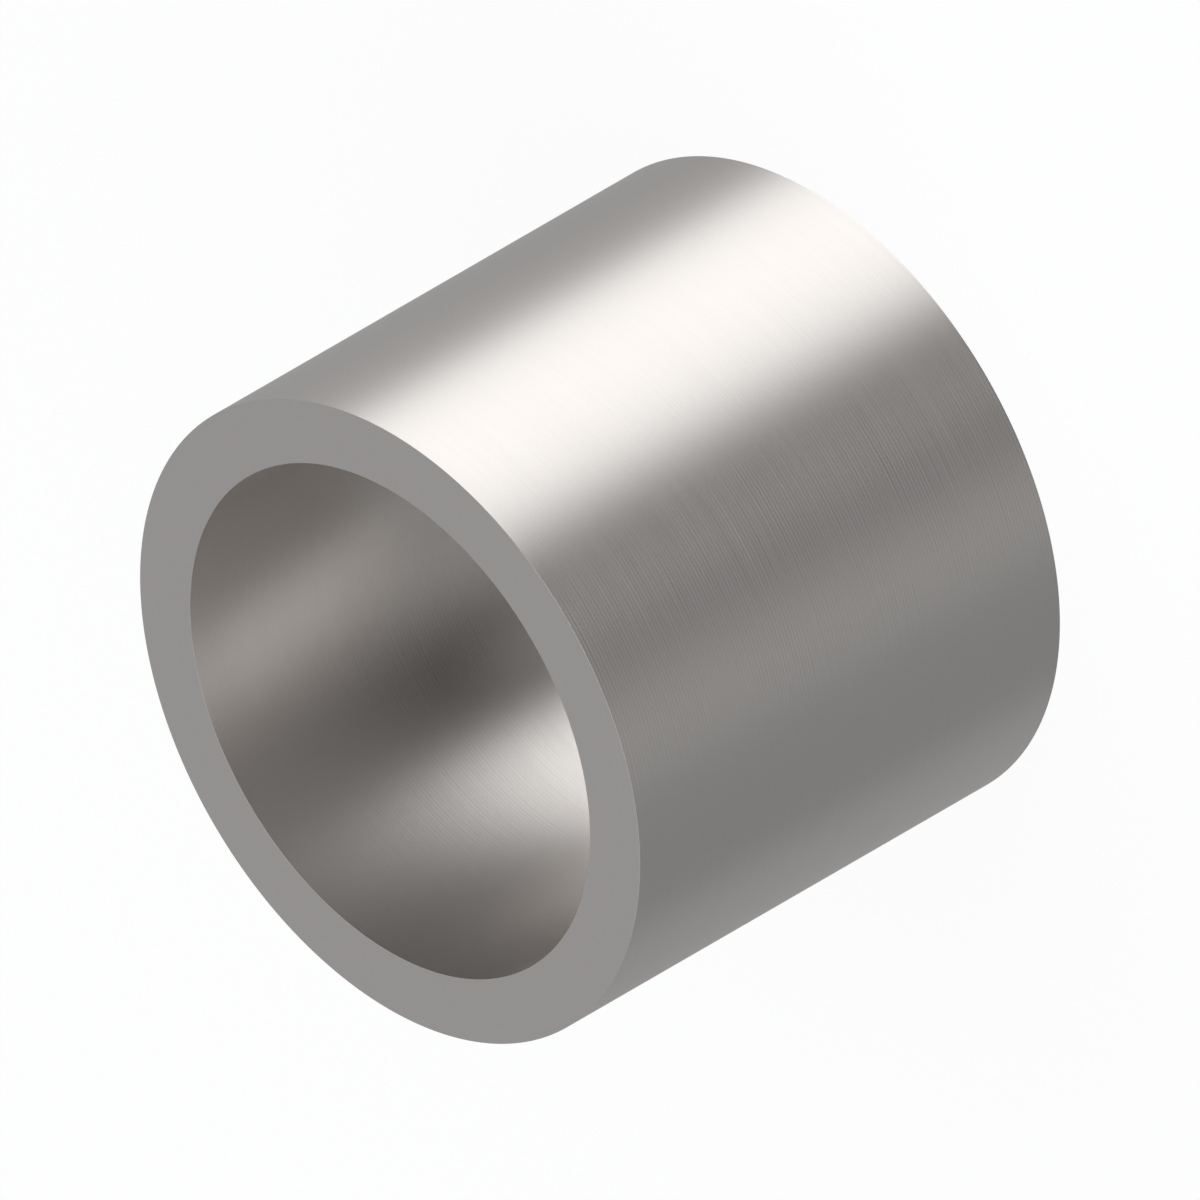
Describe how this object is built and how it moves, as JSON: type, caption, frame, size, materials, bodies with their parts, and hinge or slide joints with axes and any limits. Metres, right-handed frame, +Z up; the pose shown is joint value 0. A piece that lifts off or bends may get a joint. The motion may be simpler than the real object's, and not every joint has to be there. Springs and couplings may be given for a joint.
{
  "type": "spacer sleeve",
  "caption": "Plain round metal sleeve with square-cut ends, slid onto a shaft or bolt to hold the parts beside it a fixed distance apart.",
  "frame": {"origin": "centre of the lower end face, on the bore's axis", "axes": "+Z runs up the bore's axis, from the lower end face to the upper one; the sleeve is round about it"},
  "size_m": [0.025, 0.025, 0.021],
  "materials": {
    "stainless_steel": "satin"
  },
  "bodies": {
    "root": {"spacer_sleeve": "stainless_steel"}
  },
  "joints": []
}
